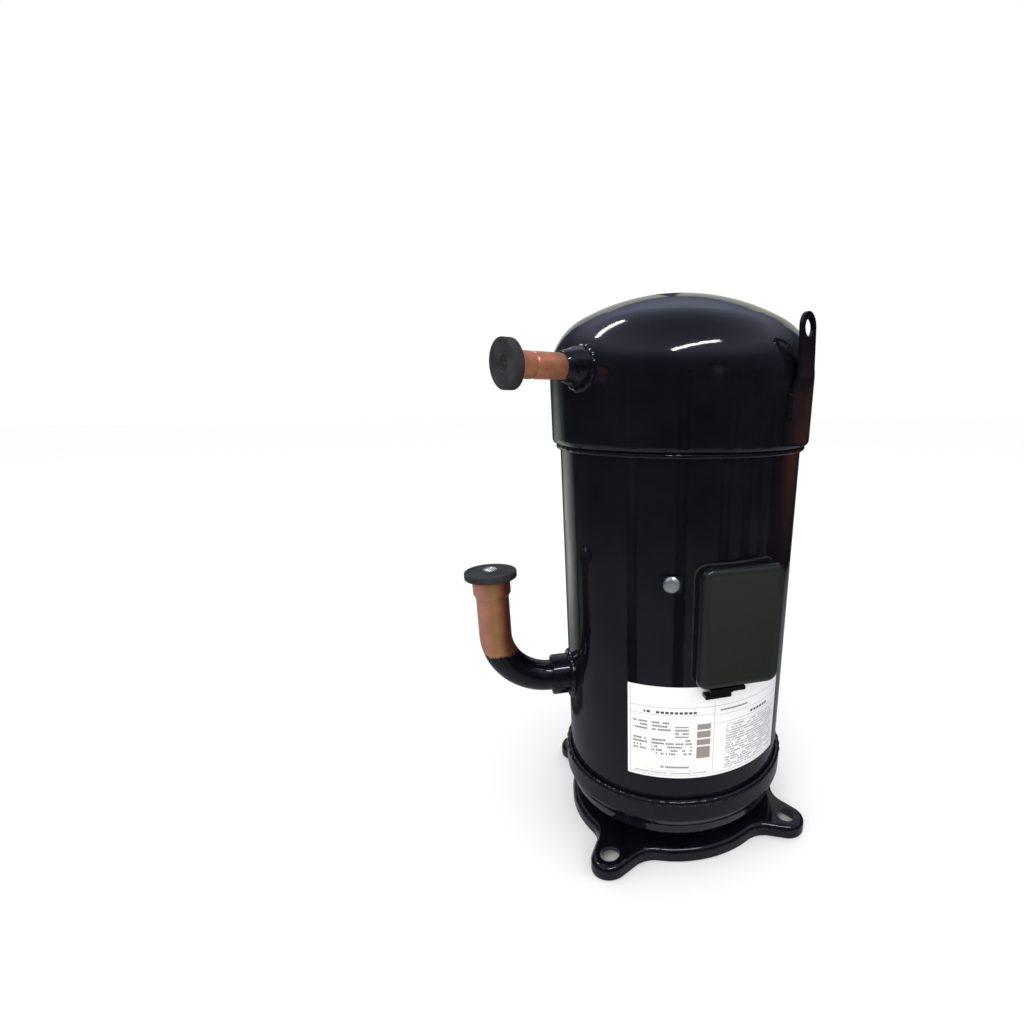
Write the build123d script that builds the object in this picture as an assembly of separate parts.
from build123d import *
from math import acos, cos, degrees, radians, sin, sqrt, tan
import os

# Hermetic scroll refrigeration compressor, millimetres, +Z up.
# Origin: centre of the four foot holes, on the underside of the foot plate's web.
# The shell's axis is Z.  The wiring cover faces -Y and the suction elbow leaves towards -X.
# Heights below are drawing heights; every part is lowered by DATUM_Z when it is written.

os.makedirs("parts", exist_ok=True)

# ---------------------------------------------------------------- driving dimensions
SHELL_R = 82.5                  # outside of the rolled shell, 165 mm across
SHELL_WALL = 4.0
SHELL_IN = SHELL_R - SHELL_WALL
SHELL_BOTTOM_Z = 30.0
SHELL_TOP_Z = 296.0

DATUM_Z = 2.3                   # underside of the foot plate's web
FOOT_TOP_Z = 5.5
FOOT_SHEET = FOOT_TOP_Z - DATUM_Z
FOOT_RIM_Z = -4.5               # lower edge of its turned-down rim
FOOT_EDGE_ROUND = 3.6
FOOT_DISC_R = 83.0
FOOT_HOLE_CIRCLE_R = 98.5
FOOT_HOLE_R = 6.75
FOOT_EAR_R = 13.3
FOOT_EAR_FLARE = 17.0           # degrees, each flank of an ear
FOOT_EAR_LENGTH = 45.0
FOOT_NECK_FILLET = 20.0

BOWL_WALL = 3.8
BOWL_R = 86.3                   # outside of the bowl's rim, over the shell
BOWL_RIM_Z = 46.0
BOWL_BOTTOM_Z = -5.2
BOWL_BEAD_R = 2.5
BOWL_BEAD_RING = SHELL_R + 1.9   # where the middle of the bead runs

CAP_WALL = 4.8
CAP_R = 87.6                    # outside of the top cap's skirt, over the shell
CAP_LIP_Z = 282.3
CAP_SKIRT_TOP_Z = 324.0
CAP_KNUCKLE_R = 39.7
CAP_CROWN_R = 142.2
CAP_LIP_ROUND = 3.6

SUCTION_AZIMUTH = 180.0
SUCTION_Z = 114.5
SUCTION_TUBE_R = 11.11          # 7/8 inch tube
SUCTION_TUBE_WALL = 1.2
SUCTION_REACH = 134.5           # shell axis to the elbow's upright leg
SUCTION_BEND_R = 38.0
SUCTION_SOCKET_R = 12.7
SUCTION_SOCKET_Z = (183.5, 194.0)
SUCTION_COLLAR_R = 14.8
SUCTION_COLLAR_END = 96.7

DISCHARGE_AZIMUTH = -152.0
DISCHARGE_Z = 328.5
DISCHARGE_TUBE_R = 7.2          # bore takes a 1/2 inch line
DISCHARGE_TUBE_WALL = 0.8
DISCHARGE_START = 76.0
DISCHARGE_GROOVE = (117.6, 120.0)      # rolled stop groove
DISCHARGE_GROOVE_DEPTH = 0.6
DISCHARGE_MOUTH_R = 7.5         # slightly opened end
DISCHARGE_MOUTH_START = 127.0
DISCHARGE_END = 131.0
DISCHARGE_COLLAR_FOOT_R = 13.0
DISCHARGE_COLLAR_R = 11.5
DISCHARGE_COLLAR_SHOULDER = 91.5
DISCHARGE_COLLAR_TIP_R = 9.4
DISCHARGE_COLLAR_END = 100.6
DISCHARGE_WELD_R = 15.0

PLUG_CLEARANCE = 0.3            # rubber transit plugs stand this far off their sockets
SUCTION_PLUG_R = 17.5
SUCTION_PLUG_FLANGE = 5.0
SUCTION_PLUG_PIN_R = 4.8
DISCHARGE_PLUG_R = 13.0
DISCHARGE_PLUG_FLANGE = 6.0
DISCHARGE_PLUG_STEM = 10.0

LUG_AZIMUTH = -58.3
LUG_THICKNESS = 2.0
LUG_BOTTOM_Z = 300.0
LUG_TOP_Z = 358.6
LUG_END_R = 8.5
LUG_HOLE_R = 4.85
LUG_PAD_R = 89.5                # outside of the pad on the cap's skirt
LUG_JOG_Z = (316.0, 324.0)      # the strip steps out between these heights
LUG_EYE_R = 91.5                # outside of the strip at the eye's centre
LUG_LEAN = 3.1                  # degrees, inwards
LUG_BEAD_R = 2.2
LUG_BEAD_LENGTH = 14.0

COVER_X = 11.0
COVER_Z = 177.0
COVER_FACE_Y = -92.5
COVER_WIDTH = 56.5
COVER_HEIGHT = 80.0
COVER_CORNER = 8.0
COVER_WALL = 2.0
COVER_EDGE = 4.0
FENCE_GAP = 0.6                 # cover's inside to the steel fence
FENCE_WALL = 1.2
FENCE_FACE_Y = -85.5
GASKET_LIP = 0.6                # gasket's lip beyond the cover
GASKET_THICKNESS = 1.4
TERMINAL_HOLE_R = 17.0
CUP_WALL = 1.6
CUP_Y = (-83.2, -71.0)
PIN_CIRCLE_R = 7.5
PIN_R = 1.6
PIN_PLACES = [(PIN_CIRCLE_R * cos(radians(a)), PIN_CIRCLE_R * sin(radians(a))) for a in (90, 210, 330)]
GLASS_R = 3.0
OUTLET_X = 0.0                  # cable outlet in the cover's lower wall
OUTLET_Y = -86.8
OUTLET_NECK = (10.4, 5.4)
OUTLET_HOLE_R = 2.0

LABEL_AZIMUTHS = (-131.0, -47.5)
LABEL_Z = (66.1, 134.9)
LABEL_THICKNESS = 0.2

EARTH_AZIMUTH = -111.5
EARTH_Z = 205.0
EARTH_TAB = (13.0, 11.0)
EARTH_SCREW_R = 2.5

STACK_Z = (56.0, 140.0)         # motor laminations
STATOR_R = 78.4
STATOR_FLAT = 72.0              # distance of the four gas-passage flats from the axis
STATOR_BORE_R = 38.0
SLOT_COUNT = 24
SLOT_WIDTH = 7.0
SLOT_RADII = (40.5, 60.0)
SLOT_MOUTH = 2.4
LINER = 0.4
END_TURN_TOP_Z = 160.0
END_TURN_BOTTOM_Z = 39.0
ROTOR_R = 37.4
ROTOR_BORE_R = 14.0
CAGE_BARS = 28
CAGE_BAR_R = 2.3
CAGE_CIRCLE_R = 33.5
CAGE_RING = (20.0, 36.4)
CAGE_RING_HEIGHT = 10.0
COUNTERWEIGHT_HEIGHT = 8.0

FIT = 0.05                      # radial clearance of the running bearings
LOWER_JOURNAL_R = 9.0
MAIN_JOURNAL_R = 16.0
CRANK_PIN_R = 9.5
BRACKET_Z = (24.0, 40.0)
WASHER_THICKNESS = 2.0
FRAME_HUB_Z = 199.0
FRAME_FLOOR_Z = 238.0
FRAME_DECK_Z = 250.0
FRAME_RIM_Z = 262.0
FRAME_R = 78.4
FRAME_POCKET_R = 68.0
LAND_RADII = (24.0, 46.0)
LAND_Z = 254.5
SCROLL_BACK_Z = 256.0           # lower face of the orbiting scroll's plate
SCROLL_FACE_Z = 265.0
SCROLL_ROOT_Z = 289.0
PLATE_GAP = 0.1
TIP_GAP = 0.15

SHAFT_SHOULDER_Z = BRACKET_Z[1] + WASHER_THICKNESS
PIN_Z = (236.5, 254.0)          # crank pin
OIL_BORE_R = 2.8
BOLT_CIRCLE_R = 72.6            # screws of the fixed scroll
BOLT_COUNT = 4
BOLT_FIRST = 45
BOLT_R = 3.0

ORBIT = 4.0                     # crank throw
WRAP = 4.1                      # wall thickness of both spirals
FLANK_GAP = 0.25
WRAP_STEP = ORBIT + WRAP + FLANK_GAP   # growth of the spiral's radius per half turn
WRAP_START_R = 10.0
WRAP_HALF_TURNS = 5
SEAL_WIDTH = 1.6
SEAL_DEPTH = 1.5

RING_RADII = (52.0, 60.0)       # Oldham ring
RING_Z = (250.3, 255.6)
KEY_RADIUS = 56.0
KEY_LENGTH = 9.0
KEY_WIDTH = 7.0
KEY_HEIGHT = 3.0
KEY_GAP = 0.3

DIVIDER_HOLE_R = 18.0
DIVIDER_Z = (296.0, 300.0)
DIVIDER_WALL = 4.0
VALVE_PORT_R = 6.0
VALVE_DISC_R = 9.6
VALVE_LIFT = 3.0
RELIEF_PLACE = (30.0, 30.0)

UP = (Align.CENTER, Align.CENTER, Align.MIN)


# ---------------------------------------------------------------- helpers
def rod(radius, z_low, z_high, x=0.0, y=0.0):
    """Upright cylinder between two heights."""
    return Pos(x, y, z_low) * Cylinder(radius, z_high - z_low, align=UP)


def ring(inner, outer, z_low, z_high, x=0.0, y=0.0):
    """Upright tube between two heights."""
    return rod(outer, z_low, z_high, x, y) - rod(inner, z_low - 1, z_high + 1, x, y)


def turned(*section):
    """Solid of revolution about Z from (radius, height) corners."""
    outline = Plane.XZ * Polyline(*section, close=True)
    return revolve(make_face(outline), Axis.Z)


def pressed(line, wall):
    """Sheet of revolution about Z whose outer face follows a line in the XZ plane."""
    band = offset(line, wall, side=Side.LEFT)
    return revolve(make_face(Plane.XZ * band), Axis.Z)


def radial(azimuth, z, start=0.0):
    """Frame whose Z axis points straight out of the shell at an azimuth and height."""
    out = Vector(cos(radians(azimuth)), sin(radians(azimuth)), 0)
    return Plane(origin=out * start + Vector(0, 0, z), x_dir=Vector(-out.Y, out.X, 0), z_dir=out)


def spun(frame, *section):
    """Solid of revolution about a frame's Z axis from (radius, distance along it) corners."""
    return frame * turned(*section)


def wiring_block(width, height, corner, y_front, y_back):
    """Block with rounded corners, centred on the wiring cover, between two values of Y."""
    face = Plane(origin=(COVER_X, y_front, COVER_Z), x_dir=(1, 0, 0), z_dir=(0, 1, 0))
    return extrude(face * RectangleRounded(width, height, corner), amount=y_back - y_front)


def wiring_rod(radius, y_front, y_back, x=0.0, z=0.0):
    """Cylinder along Y at a place measured from the centre of the terminals."""
    face = Plane(origin=(COVER_X + x, y_front, COVER_Z + z), x_dir=(1, 0, 0), z_dir=(0, 1, 0))
    return extrude(face * Circle(radius), amount=y_back - y_front)


def spiral(thickness, z_low, z_high, trim=0.0):
    """Scroll wall: half circles on two centres, each one step larger than the last."""
    centres = [(-1) ** (k + 1) * WRAP_STEP / 2 for k in range(WRAP_HALF_TURNS)]
    edges = []
    tips = []
    for side in (-1, 1):
        for k, centre in enumerate(centres):
            radius = WRAP_START_R + k * WRAP_STEP + side * thickness / 2
            first = 180.0 * (k % 2)
            sweep_angle = 180.0
            if k == 0:
                cut = degrees(trim / WRAP_START_R)
                first += cut
                sweep_angle -= cut
            if k == WRAP_HALF_TURNS - 1:
                sweep_angle -= degrees(trim / (WRAP_START_R + k * WRAP_STEP))
            edges.append(CenterArc((centre, 0), radius, first, sweep_angle))
        tips.append((edges[-WRAP_HALF_TURNS] @ 0, edges[-1] @ 1))
    edges.append(Line(tips[0][0], tips[1][0]))
    edges.append(Line(tips[0][1], tips[1][1]))
    return Pos(0, 0, z_low) * extrude(make_face(edges), amount=z_high - z_low)


shell_core = rod(SHELL_R, -50, 450)


# ---------------------------------------------------------------- pressure casing
def shell_tube():
    """Rolled shell with the suction port and the terminal hole."""
    body = ring(SHELL_IN, SHELL_R, SHELL_BOTTOM_Z, SHELL_TOP_Z)
    port = radial(SUCTION_AZIMUTH, SUCTION_Z) * Cylinder(SUCTION_TUBE_R, 100, align=UP)
    return body - port - wiring_rod(TERMINAL_HOLE_R, -95, -60)


def bowl_line():
    """Outer line of the pressed bowl, from the centre of its bottom to its rim."""
    return FilletPolyline(
        (0.0, BOWL_BOTTOM_Z), (30.0, BOWL_BOTTOM_Z), (66.5, -3.0), (71.2, 4.5), (76.0, 13.0), (81.6, 19.5),
        (83.2, 26.5), (BOWL_R, 33.0), (BOWL_R, BOWL_RIM_Z), radius=[60.0, 10.0, 6.0, 5.0, 4.5, 3.5, 4.5])


def filled(line):
    """Solid of revolution under an outer line that starts or ends on the axis."""
    start, end = line @ 0, line @ 1
    rim = start if start.X > end.X else end
    pole = end if start.X > end.X else start
    closing = [Line(rim, (0, rim.Y)), Line((0, rim.Y), pole)]
    return revolve(make_face([Plane.XZ * edge for edge in [*line.edges(), *closing]]), Axis.Z)


def bottom_cap():
    """Deep bowl that closes the shell and holds the oil."""
    seat = rod(SHELL_R + 0.05, SHELL_BOTTOM_Z - 0.2, BOWL_RIM_Z + 1)
    return pressed(bowl_line(), BOWL_WALL) - seat


def cap_line():
    """Outer line of the top cap: skirt, knuckle arc and shallow crown arc."""
    knuckle_x = CAP_R - CAP_KNUCKLE_R
    spread = CAP_CROWN_R - CAP_KNUCKLE_R
    turn = acos(knuckle_x / spread)
    crown_z = CAP_SKIRT_TOP_Z - sqrt(spread ** 2 - knuckle_x ** 2)
    meet = (knuckle_x + CAP_KNUCKLE_R * cos(turn), CAP_SKIRT_TOP_Z + CAP_KNUCKLE_R * sin(turn))
    skirt = Line((CAP_R, CAP_LIP_Z), (CAP_R, CAP_SKIRT_TOP_Z))
    knuckle = TangentArc(skirt @ 1, meet, tangent=skirt % 1)
    crown = TangentArc(knuckle @ 1, (0, crown_z + CAP_CROWN_R), tangent=knuckle % 1)
    return Wire([skirt, knuckle, crown])


def top_cap():
    """Domed cap that slips over the shell."""
    dome = pressed(cap_line(), CAP_WALL)
    lip = dome.edges().filter_by(GeomType.CIRCLE).group_by(Axis.Z)[0].sort_by(SortBy.RADIUS)[-1]
    dome = fillet(lip, CAP_LIP_ROUND)
    port = radial(DISCHARGE_AZIMUTH, DISCHARGE_Z) * Cylinder(DISCHARGE_TUBE_R, 120, align=UP)
    return dome - port


def top_seam_weld(cap):
    """Fillet weld in the corner between shell and top cap."""
    bead = turned((SHELL_R, 279.0), (SHELL_R + 2.0, 280.2), (SHELL_R + 3.0, 282.4), (SHELL_R, 283.0))
    return bead - cap


def bottom_seam_weld():
    """Raised weld bead on the rim of the bowl."""
    section = Pos(BOWL_BEAD_RING, BOWL_RIM_Z + BOWL_BEAD_R / 3) * Circle(BOWL_BEAD_R)
    bead = revolve(Plane.XZ * section, Axis.Z)
    return bead - shell_core - rod(BOWL_R + 9, 0, BOWL_RIM_Z)


def base_plate():
    """Foot plate: a disc with four flared ears and a turned-down rim."""
    outline = Circle(FOOT_DISC_R)
    centres = PolarLocations(FOOT_HOLE_CIRCLE_R, 4, start_angle=45)
    flare = radians(FOOT_EAR_FLARE)
    tip = (FOOT_EAR_R * sin(flare), FOOT_EAR_R * cos(flare))
    root = (-FOOT_EAR_LENGTH, tip[1] + (FOOT_EAR_LENGTH + tip[0]) * tan(flare))
    for place in centres:
        flanks = Polyline(tip, root, (root[0], -root[1]), (tip[0], -tip[1]), close=True)
        outline += place * (Circle(FOOT_EAR_R) + make_face(flanks))
    necks = outline.vertices().filter_by(lambda v: abs(Vector(v.X, v.Y, 0).length - FOOT_DISC_R) < 0.01)
    outline = fillet(necks, FOOT_NECK_FILLET)
    block = Pos(0, 0, FOOT_RIM_Z) * extrude(outline, amount=FOOT_TOP_Z - FOOT_RIM_Z)
    block = fillet(block.faces().sort_by(Axis.Z)[-1].edges(), FOOT_EDGE_ROUND)
    hollow = Pos(0, 0, FOOT_RIM_Z) * extrude(offset(outline, -FOOT_SHEET), amount=DATUM_Z - FOOT_RIM_Z)
    plate = block - hollow - filled(bowl_line())
    for place in centres:
        plate -= place * Cylinder(FOOT_HOLE_R, 4 * FOOT_TOP_Z)
    return plate


def lifting_lug(cap_core):
    """Strip welded to the skirt, stepped out and standing beside the dome with a hook eye."""
    eye_z = LUG_TOP_Z - LUG_END_R
    slope = tan(radians(LUG_LEAN))
    front = FilletPolyline(
        (LUG_PAD_R, LUG_BOTTOM_Z), (LUG_PAD_R, LUG_JOG_Z[0]),
        (LUG_EYE_R + (eye_z - LUG_JOG_Z[1]) * slope, LUG_JOG_Z[1]),
        (LUG_EYE_R - LUG_END_R * slope, LUG_TOP_Z), radius=3.0)
    band = Plane.XZ * make_face(offset(front, LUG_THICKNESS, side=Side.LEFT))
    strip = extrude(band, amount=LUG_END_R, both=True)
    shape = Pos(0, eye_z) * Circle(LUG_END_R)
    shape += Pos(0, (eye_z + LUG_BOTTOM_Z) / 2) * Rectangle(2 * LUG_END_R, eye_z - LUG_BOTTOM_Z)
    strip &= Plane.YZ * extrude(shape, amount=2 * LUG_EYE_R)
    strip -= Pos(LUG_EYE_R, 0, eye_z) * Rot(0, 90 - LUG_LEAN, 0) * Cylinder(LUG_HOLE_R, 20)
    return Rot(0, 0, LUG_AZIMUTH) * strip - cap_core


# ---------------------------------------------------------------- tubes, fittings and plugs
def suction_fitting():
    """Steel collar on the shell, around the suction tube."""
    frame = radial(SUCTION_AZIMUTH, SUCTION_Z)
    collar = spun(
        frame, (SUCTION_TUBE_R, SHELL_R - 6), (SUCTION_COLLAR_R, SHELL_R - 6),
        (SUCTION_COLLAR_R, SUCTION_COLLAR_END - 0.8), (SUCTION_COLLAR_R - 0.8, SUCTION_COLLAR_END),
        (SUCTION_TUBE_R, SUCTION_COLLAR_END))
    return collar - shell_core


def suction_elbow():
    """Copper elbow: level stub, bend, upright leg and socket."""
    corner = Vector(-SUCTION_REACH, 0, SUCTION_Z)
    level = Line((-SHELL_IN + 1.0, 0, SUCTION_Z), corner + Vector(SUCTION_BEND_R, 0, 0))
    bend = TangentArc(level @ 1, corner + Vector(0, 0, SUCTION_BEND_R), tangent=level % 1)
    leg = Line(bend @ 1, corner + Vector(0, 0, SUCTION_SOCKET_Z[0] - 3.0 - SUCTION_Z))
    start = Plane(origin=level @ 0, z_dir=(-1, 0, 0))
    bore_r = SUCTION_TUBE_R - SUCTION_TUBE_WALL
    tube = sweep(start * (Circle(SUCTION_TUBE_R) - Circle(bore_r)), path=Wire([level, bend, leg]))
    low, high = SUCTION_SOCKET_Z
    socket = turned(
        (SUCTION_TUBE_R, low - 3), (SUCTION_SOCKET_R, low), (SUCTION_SOCKET_R, high),
        (SUCTION_SOCKET_R - SUCTION_TUBE_WALL, high), (SUCTION_SOCKET_R - SUCTION_TUBE_WALL, low),
        (bore_r, low - 3))
    return tube + Pos(-SUCTION_REACH, 0, 0) * socket


def plug(flange_r, flange, stem_r, stem, bore_r):
    """Mushroom plug along +Z: stem below zero, rounded flange above, drilled from the top."""
    head = Cylinder(flange_r, flange, align=UP)
    head = fillet(head.edges().filter_by(GeomType.CIRCLE), flange * 0.35)
    shank = Pos(0, 0, -stem) * Cylinder(stem_r, stem + 1, align=UP)
    shank = chamfer(shank.faces().sort_by(Axis.Z)[0].edges(), 1.0)
    return head + shank - Pos(0, 0, flange - 3.0) * Cylinder(bore_r, 5, align=UP)


def suction_plug():
    """Rubber transit plug of the suction socket."""
    stem_r = SUCTION_SOCKET_R - SUCTION_TUBE_WALL - PLUG_CLEARANCE
    stem = SUCTION_SOCKET_Z[1] - SUCTION_SOCKET_Z[0] - 1.0
    body = plug(SUCTION_PLUG_R, SUCTION_PLUG_FLANGE, stem_r, stem, 2.0)
    return Pos(-SUCTION_REACH, 0, SUCTION_SOCKET_Z[1]) * body


def suction_plug_pin():
    """Bright rivet in the middle of the suction plug."""
    low = SUCTION_SOCKET_Z[1] + SUCTION_PLUG_FLANGE
    head = Cylinder(SUCTION_PLUG_PIN_R, 2.2, align=UP)
    head = fillet(head.faces().sort_by(Axis.Z)[-1].edges(), 1.8)
    shank = Pos(0, 0, -3.0) * Cylinder(2.0, 3.0, align=UP)
    return Pos(-SUCTION_REACH, 0, low) * (head + shank)


def discharge_fitting(cap_core):
    """Steel collar on the cap's shoulder, flared where it meets the cap."""
    frame = radial(DISCHARGE_AZIMUTH, DISCHARGE_Z)
    collar = spun(
        frame, (DISCHARGE_TUBE_R, DISCHARGE_START), (DISCHARGE_COLLAR_FOOT_R, DISCHARGE_START),
        (DISCHARGE_COLLAR_R, DISCHARGE_COLLAR_SHOULDER), (DISCHARGE_COLLAR_TIP_R, DISCHARGE_COLLAR_END),
        (DISCHARGE_TUBE_R, DISCHARGE_COLLAR_END))
    return collar - cap_core


def discharge_tube():
    """Copper stub from the cap's shoulder, with a rolled groove and a slightly opened end."""
    wall, depth = DISCHARGE_TUBE_WALL, DISCHARGE_GROOVE_DEPTH
    first, last = DISCHARGE_GROOVE
    outside = [
        (DISCHARGE_TUBE_R, DISCHARGE_START), (DISCHARGE_TUBE_R, first),
        (DISCHARGE_TUBE_R - depth, first + depth), (DISCHARGE_TUBE_R - depth, last - depth),
        (DISCHARGE_TUBE_R, last), (DISCHARGE_TUBE_R, DISCHARGE_MOUTH_START),
        (DISCHARGE_MOUTH_R, DISCHARGE_END)]
    inside = [(radius - wall, along) for radius, along in reversed(outside)]
    return spun(radial(DISCHARGE_AZIMUTH, DISCHARGE_Z), *outside, *inside)


def discharge_plug():
    """Rubber transit plug of the discharge stub."""
    stem_r = DISCHARGE_TUBE_R - DISCHARGE_TUBE_WALL - PLUG_CLEARANCE
    body = plug(DISCHARGE_PLUG_R, DISCHARGE_PLUG_FLANGE, stem_r, DISCHARGE_PLUG_STEM, 1.5)
    return radial(DISCHARGE_AZIMUTH, DISCHARGE_Z, DISCHARGE_END) * body


def fitting_welds(cap_core, lug):
    """Fillet welds of both collars and the two upright beads beside the lug."""
    suction = spun(
        radial(SUCTION_AZIMUTH, SUCTION_Z), (SUCTION_COLLAR_R, 76), (SUCTION_COLLAR_R + 3.2, 76),
        (SUCTION_COLLAR_R + 3.0, 83.0), (SUCTION_COLLAR_R, 86.5)) - shell_core
    discharge = spun(
        radial(DISCHARGE_AZIMUTH, DISCHARGE_Z), (DISCHARGE_COLLAR_R - 2, 76), (DISCHARGE_WELD_R, 76),
        (DISCHARGE_WELD_R - 0.4, 86.0), (DISCHARGE_COLLAR_R - 2, 92.5)) - cap_core - discharge_fitting(cap_core)
    discharge -= spun(radial(DISCHARGE_AZIMUTH, DISCHARGE_Z), (0, 70), (9, 70), (9, 120), (0, 120))
    beads = []
    for side in (-1, 1):
        place = Rot(0, 0, LUG_AZIMUTH) * Pos(CAP_R, side * LUG_END_R, LUG_BOTTOM_Z + 1)
        bead = place * Cylinder(LUG_BEAD_R, LUG_BEAD_LENGTH, align=UP)
        beads.append(bead - cap_core - lug)
    return [suction, discharge] + beads


# ---------------------------------------------------------------- electrical parts
def terminal_cup():
    """Steel cup of the hermetic terminal, sealed into the shell."""
    front, back = CUP_Y
    cup = wiring_rod(TERMINAL_HOLE_R, front, back)
    cup -= wiring_rod(TERMINAL_HOLE_R - CUP_WALL, front - 1, back - CUP_WALL - 0.8)
    for x, z in PIN_PLACES:
        cup -= wiring_rod(GLASS_R, -80, -60, x, z)
    return cup


def terminal_glass_seals():
    """Glass beads that hold the three pins in the cup."""
    return [
        wiring_rod(GLASS_R, -75.0, -70.0, x, z) - wiring_rod(PIN_R, -80, -60, x, z) for x, z in PIN_PLACES]


def terminal_pins():
    """Three pins through the cup."""
    return [wiring_rod(PIN_R, -81.0, -63.0, x, z) for x, z in PIN_PLACES]


def terminal_block():
    """Moulded block pushed on the outer ends of the pins."""
    block = wiring_rod(13.0, -80.0, -76.5)
    for x, z in PIN_PLACES:
        block -= wiring_rod(PIN_R + 0.1, -90, -60, x, z)
    return block


def motor_connector():
    """Moulded plug on the inner ends of the pins."""
    block = wiring_rod(12.0, -70.0, -62.0)
    for x, z in PIN_PLACES:
        block -= wiring_rod(3.1, -71, -69.9, x, z) + wiring_rod(PIN_R, -72, -60, x, z)
    return block


def motor_leads():
    """Three short leads from the inner connector to the end turns."""
    leads = []
    for x in (-5.0, 0.0, 5.0):
        route = FilletPolyline(
            (COVER_X + x, -62.0, COVER_Z - 4.0), (COVER_X + x, -50.0, COVER_Z - 4.0),
            (COVER_X + x, -50.0, END_TURN_TOP_Z), radius=5.0)
        leads.append(sweep(Plane(origin=route @ 0, z_dir=route % 0) * Circle(1.5), path=route))
    return leads


def fence_block(gap, y_front):
    """Block inside the wiring cover, a gap away from its inner walls."""
    shrink = 2 * (COVER_WALL + gap)
    return wiring_block(
        COVER_WIDTH - shrink, COVER_HEIGHT - shrink, COVER_CORNER - COVER_WALL - gap, y_front, -60)


def terminal_fence():
    """Steel fence welded to the shell around the terminal."""
    wall = fence_block(FENCE_GAP, FENCE_FACE_Y) - fence_block(FENCE_GAP + FENCE_WALL, FENCE_FACE_Y - 1)
    outlet = Pos(OUTLET_X, OUTLET_Y, COVER_Z - COVER_HEIGHT / 2) * Box(OUTLET_NECK[0] + 1.6, 16, 14)
    return wall - shell_core - outlet


def terminal_gasket():
    """Rubber strip between the cover and the shell."""
    grow = 2 * GASKET_LIP
    outer = wiring_block(
        COVER_WIDTH + grow, COVER_HEIGHT + grow, COVER_CORNER + GASKET_LIP, COVER_FACE_Y, -60)
    opening = fence_block(FENCE_GAP - 0.3, COVER_FACE_Y - 1)
    skin = ring(SHELL_R, SHELL_R + GASKET_THICKNESS, COVER_Z - 60, COVER_Z + 60)
    return (outer - opening) & skin


def terminal_cover():
    """Moulded wiring cover with rounded edges and a notch for the cable outlet."""
    outer = wiring_block(COVER_WIDTH, COVER_HEIGHT, COVER_CORNER, COVER_FACE_Y, -60)
    outer = fillet(outer.faces().sort_by(Axis.Y)[0].edges(), COVER_EDGE)
    inner = wiring_block(
        COVER_WIDTH - 2 * COVER_WALL, COVER_HEIGHT - 2 * COVER_WALL, COVER_CORNER - COVER_WALL,
        COVER_FACE_Y + COVER_WALL, -59)
    width, depth = OUTLET_NECK
    back = (Align.CENTER, Align.MIN, Align.CENTER)
    notch = Box(width + 0.2, 20.0, 12.0, align=back)
    notch = Pos(OUTLET_X, OUTLET_Y - depth / 2 - 0.1, COVER_Z - COVER_HEIGHT / 2) * notch
    seat = rod(SHELL_R + GASKET_THICKNESS + 0.05, 100, 260)
    return outer - inner - notch - seat


def cable_outlet():
    """Grommet in the cover's lower wall, with a foot and a strap."""
    z_wall = COVER_Z - COVER_HEIGHT / 2
    width, depth = OUTLET_NECK
    blocks = [
        (OUTLET_X, OUTLET_Y, z_wall - 2.5, width, depth, 10.0),
        (OUTLET_X, OUTLET_Y - 0.9, z_wall - 1.8, 16.0, 6.8, 3.2),
        (OUTLET_X - 1.5, OUTLET_Y, z_wall - 6.0, 18.0, depth, 3.0),
        (OUTLET_X + 12.0, OUTLET_Y - 1.0, z_wall - 1.7, 9.0, depth, 3.0)]
    body = Part()
    for x, y, z, length, width, height in blocks:
        block = Box(length, width, height)
        body += Pos(x, y, z) * fillet(block.edges().filter_by(Axis.Y), 0.7)
    return body - rod(OUTLET_HOLE_R, z_wall - 20, z_wall + 20, OUTLET_X, OUTLET_Y)


def earth_bracket():
    """Flat tab on the shell for the earth screw."""
    face = radial(EARTH_AZIMUTH, EARTH_Z, SHELL_R - 0.6)
    tab = extrude(face * RectangleRounded(*EARTH_TAB, 2.5), amount=2.4)
    hole = face * Cylinder(EARTH_SCREW_R, 20)
    return tab - shell_core - hole


def earth_screw():
    """Hexagon flange screw in the earth tab."""
    face = radial(EARTH_AZIMUTH, EARTH_Z, SHELL_R + 1.8)
    washer = extrude(face * Circle(5.2), amount=1.2)
    head = extrude(face.offset(1.2) * RegularPolygon(4.6, 6), amount=3.6)
    shank = extrude(face * Circle(EARTH_SCREW_R), amount=-1.75)
    return washer + head + shank - shell_core


def nameplate():
    """Printed label that wraps the lower front of the shell."""
    first, last = LABEL_AZIMUTHS
    section = Pos(SHELL_R + LABEL_THICKNESS / 2, sum(LABEL_Z) / 2) * Rectangle(
        LABEL_THICKNESS, LABEL_Z[1] - LABEL_Z[0])
    return Rot(0, 0, first) * revolve(Plane.XZ * section, Axis.Z, revolution_arc=last - first)


# ---------------------------------------------------------------- motor
def slot_sector(r_low, r_high, width, z_low, z_high):
    """Bar along X with parallel sides, before it is copied around the axis."""
    bar = Pos((r_low + r_high) / 2, 0, z_low)
    return bar * Box(r_high - r_low, width, z_high - z_low, align=UP)


def around(shape, count, first=0.0):
    """Copies of a shape turned about Z."""
    return [Rot(0, 0, first + 360.0 * k / count) * shape for k in range(count)]


def stator_core():
    """Lamination stack with slots and four flats."""
    low, high = STACK_Z
    core = ring(STATOR_BORE_R, STATOR_R, low, high)
    core &= Pos(0, 0, low) * Box(2 * STATOR_FLAT, 2 * STATOR_FLAT, high - low, align=UP)
    slot = slot_sector(*SLOT_RADII, SLOT_WIDTH, low - 1, high + 1)
    mouth = slot_sector(STATOR_BORE_R - 2, SLOT_RADII[0] + 1, SLOT_MOUTH, low - 1, high + 1)
    return core - around(slot + mouth, SLOT_COUNT)


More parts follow.
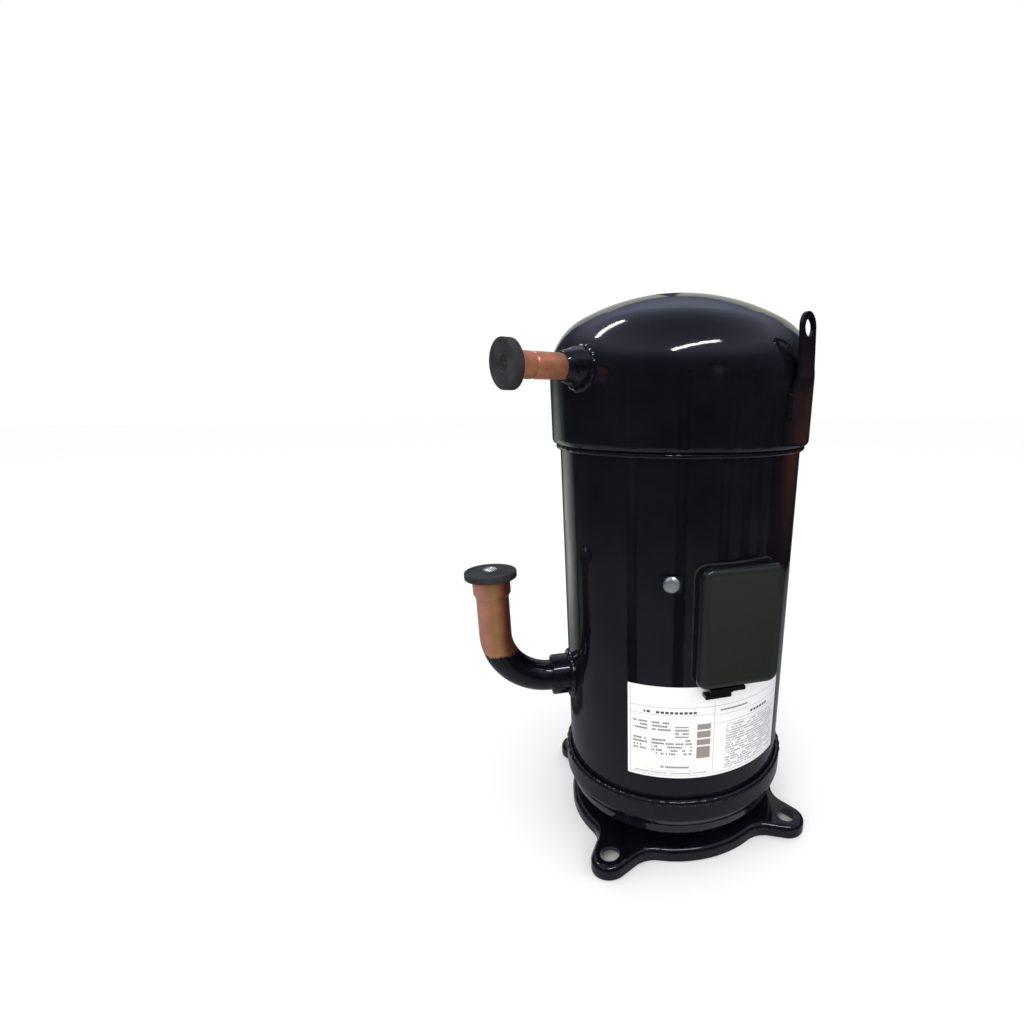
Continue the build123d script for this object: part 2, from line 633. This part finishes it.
def slot_liners():
    """Paper liners between the laminations and the copper."""
    low, high = STACK_Z
    outer = slot_sector(*SLOT_RADII, SLOT_WIDTH, low, high)
    inner = slot_sector(
        SLOT_RADII[0] + LINER, SLOT_RADII[1] - LINER, SLOT_WIDTH - 2 * LINER, low - 1, high + 1)
    return around(outer - inner, SLOT_COUNT)


def stator_windings():
    """Copper in the slots, joined by the bundles of end turns."""
    r_low, r_high = SLOT_RADII[0] + LINER, SLOT_RADII[1] - LINER
    width = SLOT_WIDTH - 2 * LINER
    coils = ring(r_low, r_high, STACK_Z[1], END_TURN_TOP_Z)
    coils = fillet(coils.faces().sort_by(Axis.Z)[-1].edges(), 6)
    lower = ring(r_low, r_high, END_TURN_BOTTOM_Z, STACK_Z[0])
    lower = fillet(lower.faces().sort_by(Axis.Z)[0].edges(), 6)
    bars = around(slot_sector(r_low + 0.5, r_high - 0.5, width, STACK_Z[0] - 1, STACK_Z[1] + 1), SLOT_COUNT)
    return coils + lower + bars


def overload_protector():
    """Thermal protector tied on the upper end turns."""
    return rod(8.0, END_TURN_TOP_Z, END_TURN_TOP_Z + 11, 36.0, 36.0)


def rotor_core():
    """Rotor laminations, drilled for the cage bars."""
    core = ring(ROTOR_BORE_R, ROTOR_R, *STACK_Z)
    bar = rod(CAGE_BAR_R, STACK_Z[0] - 1, STACK_Z[1] + 1, CAGE_CIRCLE_R)
    return core - around(bar, CAGE_BARS)


def rotor_cage():
    """Cast aluminium bars and end rings."""
    low, high = STACK_Z
    cage = ring(*CAGE_RING, high, high + CAGE_RING_HEIGHT)
    cage += ring(*CAGE_RING, low - CAGE_RING_HEIGHT, low)
    return cage + around(rod(CAGE_BAR_R, low - 1, high + 1, CAGE_CIRCLE_R), CAGE_BARS)


def counterweight(z_low, side):
    """Half ring on an end ring, on one side of the shaft."""
    weight = ring(*CAGE_RING, z_low, z_low + COUNTERWEIGHT_HEIGHT)
    half = Pos(side * 50, 0, z_low) * Box(100, 100, COUNTERWEIGHT_HEIGHT, align=UP)
    return weight & half


# ---------------------------------------------------------------- shaft and bearings
def crankshaft():
    """Shaft with lower journal, rotor seat, main journal and offset crank pin."""
    shaft = rod(LOWER_JOURNAL_R, 23.0, SHAFT_SHOULDER_Z)
    shaft += rod(ROTOR_BORE_R, SHAFT_SHOULDER_Z, 200.0)
    shaft += rod(MAIN_JOURNAL_R, 200.0, PIN_Z[0])
    shaft += rod(CRANK_PIN_R, *PIN_Z, x=ORBIT)
    return shaft - rod(OIL_BORE_R, 22, 255, x=ORBIT / 2)


def oil_pickup_tube():
    """Tapered tube on the shaft's end that dips into the oil."""
    tube = turned((3.6, 23.0), (LOWER_JOURNAL_R, 23.0), (6.0, 18.0), (3.8, 4.0), (2.0, 4.0), (3.6, 18.0))
    return tube


def lower_bearing_bracket():
    """Three-legged bracket that carries the lower bearing."""
    low, high = BRACKET_Z
    hub = rod(17.0, low, high)
    leg = Pos(45, 0, low + 4) * Box(66.0, 16, 6, align=UP)
    pad = Pos(74, 0, low + 4) * Box(6, 26, 12, align=UP)
    spider = hub + around(leg + pad, 3, 30)
    spider &= rod(STATOR_R, low, high)
    return spider - rod(LOWER_JOURNAL_R + 2.5, low - 1, high + 1)


def main_frame():
    """Cast frame: main bearing hub, floor, raised land and rim."""
    body = turned(
        (MAIN_JOURNAL_R + 1.5, FRAME_HUB_Z), (25.0, FRAME_HUB_Z), (26.0, FRAME_FLOOR_Z - 8),
        (34.0, FRAME_FLOOR_Z), (FRAME_R, FRAME_FLOOR_Z), (FRAME_R, FRAME_RIM_Z),
        (FRAME_POCKET_R, FRAME_RIM_Z), (FRAME_POCKET_R, FRAME_DECK_Z), (LAND_RADII[1], FRAME_DECK_Z),
        (LAND_RADII[1], LAND_Z), (LAND_RADII[0], LAND_Z), (LAND_RADII[0], PIN_Z[0]),
        (MAIN_JOURNAL_R + 1.5, PIN_Z[0]))
    keyway = Box(KEY_LENGTH + 2 * ORBIT + 1, KEY_WIDTH + 2 * KEY_GAP, 8)
    for side in (-1, 1):
        body -= Pos(side * KEY_RADIUS, 0, FRAME_DECK_Z) * keyway
    passage = Pos(FRAME_R, 0, FRAME_FLOOR_Z - 1) * Box(12, 24, 40, align=UP)
    for azimuth in (0, 90, 180, 270):
        body -= Rot(0, 0, azimuth) * passage
    for place in PolarLocations(BOLT_CIRCLE_R, BOLT_COUNT, start_angle=BOLT_FIRST):
        body -= place * Pos(0, 0, 250) * Cylinder(BOLT_R, 20, align=UP)
    return body


def main_bearing_bush():
    """Plain bush of the main bearing."""
    return ring(MAIN_JOURNAL_R + FIT, MAIN_JOURNAL_R + 1.5, FRAME_HUB_Z + 2, PIN_Z[0])


def lower_bearing_bush():
    """Plain bush of the lower bearing."""
    return ring(LOWER_JOURNAL_R + FIT, LOWER_JOURNAL_R + 2.5, BRACKET_Z[0] + 1, BRACKET_Z[1])


def thrust_washer():
    """Washer that carries the shaft's weight on the lower bracket."""
    return ring(LOWER_JOURNAL_R + 0.4, 16.0, BRACKET_Z[1], SHAFT_SHOULDER_Z - 0.05)


def thrust_plate():
    """Hard plate on the land that the orbiting scroll slides on."""
    return ring(*LAND_RADII, LAND_Z, SCROLL_BACK_Z - PLATE_GAP)


# ---------------------------------------------------------------- scroll set
def orbiting_scroll():
    """Plate with its spiral wall above and bearing hub below."""
    plate = rod(62.0, SCROLL_BACK_Z, SCROLL_FACE_Z)
    plate += ring(14.0, 18.0, 240.0, SCROLL_BACK_Z)
    for side in (-1, 1):
        slot = Box(KEY_WIDTH + 2 * KEY_GAP, KEY_LENGTH + 2 * ORBIT + 1, 8)
        plate -= Pos(0, side * KEY_RADIUS, SCROLL_BACK_Z) * slot
    wall = spiral(WRAP, SCROLL_FACE_Z, SCROLL_ROOT_Z - TIP_GAP)
    groove = spiral(SEAL_WIDTH, SCROLL_ROOT_Z - TIP_GAP - SEAL_DEPTH, SCROLL_ROOT_Z, trim=3.0)
    return Pos(ORBIT, 0, 0) * (plate + wall - groove)


def orbiting_tip_seal():
    """Seal strip in the tip of the orbiting spiral."""
    strip = spiral(SEAL_WIDTH, SCROLL_ROOT_Z - TIP_GAP - SEAL_DEPTH, SCROLL_ROOT_Z - TIP_GAP, trim=3.0)
    return Pos(ORBIT, 0, 0) * strip


def scroll_bush():
    """Bush in the orbiting scroll's hub."""
    return ring(12.0 + FIT, 14.0, 240.5, 255.0, x=ORBIT)


def drive_bush():
    """Bush on the crank pin."""
    return ring(CRANK_PIN_R, 12.0, 238.0, 254.0, x=ORBIT)


def oil_gallery_plug():
    """Round plug in the top of the shaft's oil bore."""
    return rod(OIL_BORE_R - FIT, 248.0, 253.5, x=ORBIT / 2)


def oldham_ring():
    """Ring whose keys stop the orbiting scroll from turning."""
    body = ring(*RING_RADII, *RING_Z)
    for side in (-1, 1):
        key = Box(KEY_LENGTH, KEY_WIDTH, KEY_HEIGHT + 1, align=(Align.CENTER, Align.CENTER, Align.MAX))
        body += Pos(side * KEY_RADIUS, 0, RING_Z[0] + 1) * key
        key = Box(KEY_WIDTH, KEY_LENGTH, KEY_HEIGHT + 1, align=UP)
        body += Pos(0, side * KEY_RADIUS, RING_Z[1] - 1) * key
    return Pos(ORBIT, 0, 0) * body


def fixed_scroll():
    """Fixed scroll: flange, wall, roof, discharge port and spiral."""
    body = turned(
        (57.0, SCROLL_FACE_Z + PLATE_GAP), (FRAME_POCKET_R, SCROLL_FACE_Z + PLATE_GAP),
        (FRAME_POCKET_R, FRAME_RIM_Z), (FRAME_R - 0.2, FRAME_RIM_Z), (FRAME_R - 0.2, 272.0),
        (67.0, 272.0), (67.0, 292.0), (62.0, 298.0), (21.0, 298.0), (21.0, 304.0), (3.6, 304.0),
        (3.6, SCROLL_ROOT_Z), (57.0, SCROLL_ROOT_Z))
    wall = Rot(0, 0, 180) * spiral(WRAP, SCROLL_FACE_Z + TIP_GAP, SCROLL_ROOT_Z + 0.5)
    groove = Rot(0, 0, 180) * spiral(
        SEAL_WIDTH, SCROLL_FACE_Z, SCROLL_FACE_Z + TIP_GAP + SEAL_DEPTH, trim=3.0)
    inlet = Pos(0, 62, 280) * Box(24, 16, 10)
    body = body + wall - groove - inlet - rod(3.6, 280, 310)
    passage = Pos(FRAME_R, 0, 260) * Box(12, 24, 14, align=UP)
    for azimuth in (0, 90, 180, 270):
        body -= Rot(0, 0, azimuth) * passage
    for place in PolarLocations(BOLT_CIRCLE_R, BOLT_COUNT, start_angle=BOLT_FIRST):
        body -= place * Pos(0, 0, 255) * Cylinder(BOLT_R, 30, align=UP)
    return body


def fixed_tip_seal():
    """Seal strip in the tip of the fixed spiral."""
    strip = spiral(SEAL_WIDTH, SCROLL_FACE_Z + TIP_GAP, SCROLL_FACE_Z + TIP_GAP + SEAL_DEPTH, trim=3.0)
    return Rot(0, 0, 180) * strip


def fixed_scroll_bolts():
    """Cap screws that hold the fixed scroll on the frame."""
    bolts = []
    for place in PolarLocations(BOLT_CIRCLE_R, BOLT_COUNT, start_angle=BOLT_FIRST):
        screw = rod(BOLT_R, 251.0, 272.0) + rod(4.8, 272.0, 277.0)
        bolts.append(place * screw)
    return bolts


def partition_plate():
    """Dished plate that divides suction from discharge, on the shell's top edge."""
    plate = turned(
        (SHELL_R - 0.1, DIVIDER_Z[0]), (SHELL_R - 0.1, DIVIDER_Z[1]), (76.0, DIVIDER_Z[1]),
        (66.0, 309.0), (DIVIDER_HOLE_R, 313.0), (DIVIDER_HOLE_R, 309.0), (66.0, 305.0), (76.0, 296.0))
    return plate - rod(5.0, 300, 320, RELIEF_PLACE[0], RELIEF_PLACE[1])


def relief_valve():
    """Pressure relief plug in the partition plate."""
    x, y = RELIEF_PLACE
    hexagon = Pos(x, y, 313.0) * extrude(RegularPolygon(7.0, 6), amount=5)
    return hexagon + rod(5.0, 306.0, 313.5, x, y) - rod(2.0, 300, 330, x, y)


def floating_seal():
    """Seal ring between the fixed scroll's hub and the valve seat."""
    return ring(8.0, 20.0, 304.0, 308.0)


def valve_seat():
    """Seat ring of the discharge check valve, in the partition plate."""
    return turned(
        (VALVE_PORT_R, 308.0), (DIVIDER_HOLE_R, 308.0), (DIVIDER_HOLE_R, 315.0), (14.0, 315.0),
        (14.0, 314.0), (VALVE_PORT_R, 314.0))


def valve_disc():
    """Disc of the check valve, resting just above its seat."""
    return rod(VALVE_DISC_R, 314.1, 315.3)


def valve_cage():
    """Slotted cage that stops the valve disc's lift."""
    roof_z = 315.3 + VALVE_LIFT + 0.6
    cage = ring(10.2, 13.9, 314.0, roof_z) + ring(3.0, 13.9, roof_z, roof_z + 2)
    for azimuth in (0, 60, 120):
        cage -= Rot(0, 0, azimuth) * Pos(0, 0, 316.4) * Box(60, 5, 2.2, align=UP)
    return cage


def sump_magnet():
    """Ring magnet on the floor of the bowl."""
    return ring(4.0, 11.0, 1.0, 6.0, x=42.0)


# ---------------------------------------------------------------- assembly
cap = top_cap()
cap_core = filled(cap_line())
lug = lifting_lug(cap_core)

nodes = {
    "shell_tube": shell_tube(),
    "bottom_cap": bottom_cap(),
    "base_plate": base_plate(),
    "top_cap": cap,
    "top_seam_weld": top_seam_weld(cap),
    "bottom_seam_weld": bottom_seam_weld(),
    "lifting_lug": lug,
    "suction_fitting": suction_fitting(),
    "suction_elbow": suction_elbow(),
    "suction_plug": suction_plug(),
    "suction_plug_pin": suction_plug_pin(),
    "discharge_fitting": discharge_fitting(cap_core),
    "discharge_tube": discharge_tube(),
    "discharge_plug": discharge_plug(),
    "fitting_welds": fitting_welds(cap_core, lug),
    "terminal_cup": terminal_cup(),
    "terminal_glass_seals": terminal_glass_seals(),
    "terminal_pins": terminal_pins(),
    "terminal_block": terminal_block(),
    "terminal_fence": terminal_fence(),
    "terminal_gasket": terminal_gasket(),
    "terminal_cover": terminal_cover(),
    "cable_outlet": cable_outlet(),
    "earth_bracket": earth_bracket(),
    "earth_screw": earth_screw(),
    "nameplate": nameplate(),
    "motor_connector": motor_connector(),
    "motor_leads": motor_leads(),
    "stator_core": stator_core(),
    "slot_liners": slot_liners(),
    "stator_windings": stator_windings(),
    "overload_protector": overload_protector(),
    "rotor_core": rotor_core(),
    "rotor_cage": rotor_cage(),
    "upper_counterweight": counterweight(STACK_Z[1] + CAGE_RING_HEIGHT, -1),
    "lower_counterweight": counterweight(STACK_Z[0] - CAGE_RING_HEIGHT - COUNTERWEIGHT_HEIGHT, 1),
    "crankshaft": crankshaft(),
    "oil_pickup_tube": oil_pickup_tube(),
    "lower_bearing_bracket": lower_bearing_bracket(),
    "lower_bearing_bush": lower_bearing_bush(),
    "thrust_washer": thrust_washer(),
    "main_frame": main_frame(),
    "main_bearing_bush": main_bearing_bush(),
    "thrust_plate": thrust_plate(),
    "drive_bush": drive_bush(),
    "oil_gallery_plug": oil_gallery_plug(),
    "oldham_ring": oldham_ring(),
    "orbiting_scroll": orbiting_scroll(),
    "orbiting_tip_seal": orbiting_tip_seal(),
    "scroll_bush": scroll_bush(),
    "fixed_scroll": fixed_scroll(),
    "fixed_tip_seal": fixed_tip_seal(),
    "fixed_scroll_bolts": fixed_scroll_bolts(),
    "partition_plate": partition_plate(),
    "relief_valve": relief_valve(),
    "floating_seal": floating_seal(),
    "valve_seat": valve_seat(),
    "valve_disc": valve_disc(),
    "valve_cage": valve_cage(),
    "sump_magnet": sump_magnet(),
}

for name, shape in nodes.items():
    solids = shape if isinstance(shape, list) else [shape]
    lowered = [Pos(0, 0, -DATUM_Z) * solid for part in solids for solid in part.solids()]
    export_step(Compound(children=lowered), f"parts/{name}.step")
print(len(nodes), "nodes written")
